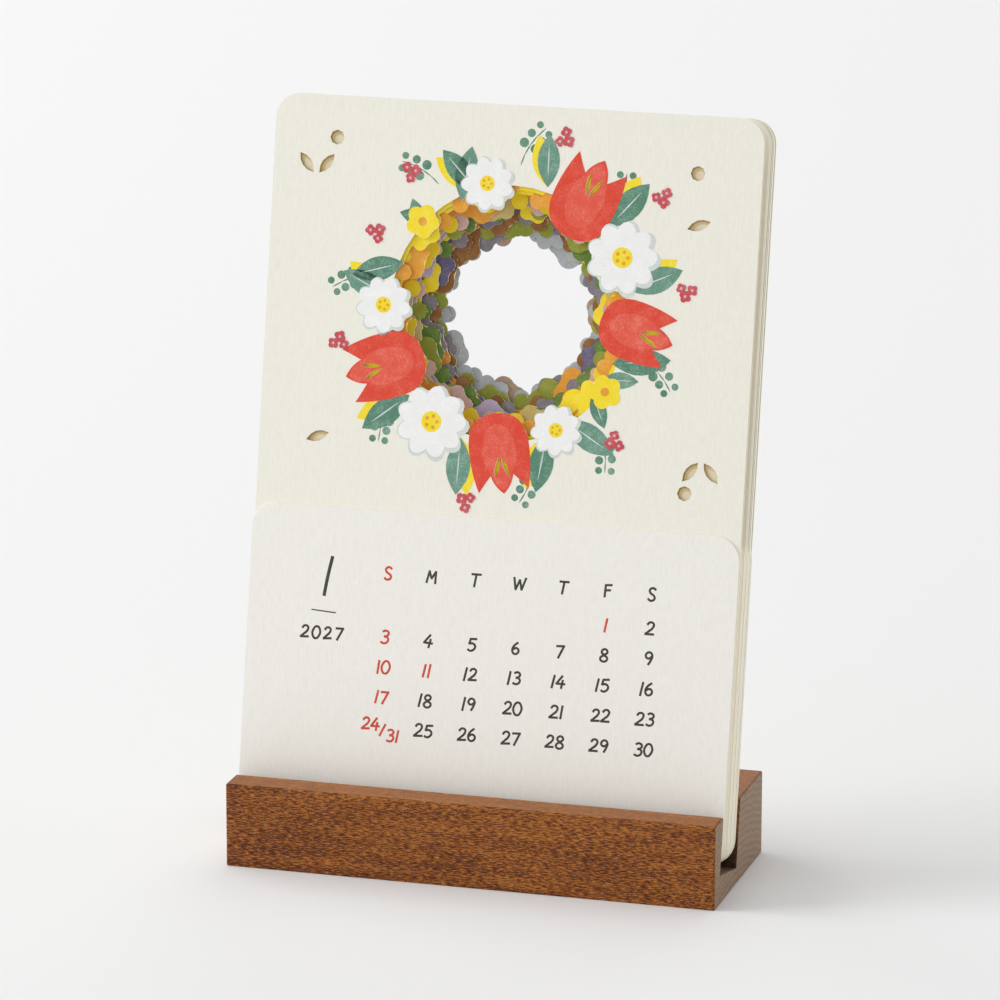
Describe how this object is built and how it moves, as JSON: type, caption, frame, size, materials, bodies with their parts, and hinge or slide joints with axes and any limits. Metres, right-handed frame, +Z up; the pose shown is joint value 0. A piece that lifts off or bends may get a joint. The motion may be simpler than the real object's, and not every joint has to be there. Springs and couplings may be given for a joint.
{
  "type": "desk calendar",
  "caption": "Desk calendar: a grooved wooden block holding a leaning stack of rounded cards with nested die-cut windows and short date cards.",
  "frame": {"origin": "centre of the wooden block's underside", "axes": "+X to the right along the block, +Y to the back, +Z up; the printed faces look towards -Y and the cards lean back"},
  "size_m": [0.1012, 0.0471, 0.1513],
  "materials": {
    "wood": "fine-grained red-brown hardwood, oiled, matte",
    "cream_card": "uncoated cream card, felt-marked, matte",
    "white_card": "uncoated white card, matte"
  },
  "bodies": {
    "root": {"stand": "wood", "picture_card_01": "cream_card", "picture_card_02": "cream_card", "picture_card_03": "cream_card", "picture_card_04": "cream_card", "picture_card_05": "cream_card", "picture_card_06": "cream_card", "picture_card_07": "cream_card", "picture_card_08": "cream_card", "picture_card_09": "cream_card", "picture_card_10": "cream_card", "picture_card_11": "cream_card", "picture_card_12": "cream_card", "date_card_01": "white_card", "date_card_02": "white_card", "date_card_03": "white_card", "date_card_04": "white_card", "date_card_05": "white_card", "date_card_06": "white_card", "date_card_07": "white_card", "date_card_08": "white_card", "date_card_09": "white_card", "date_card_10": "white_card", "date_card_11": "white_card", "date_card_12": "white_card"}
  },
  "joints": []
}
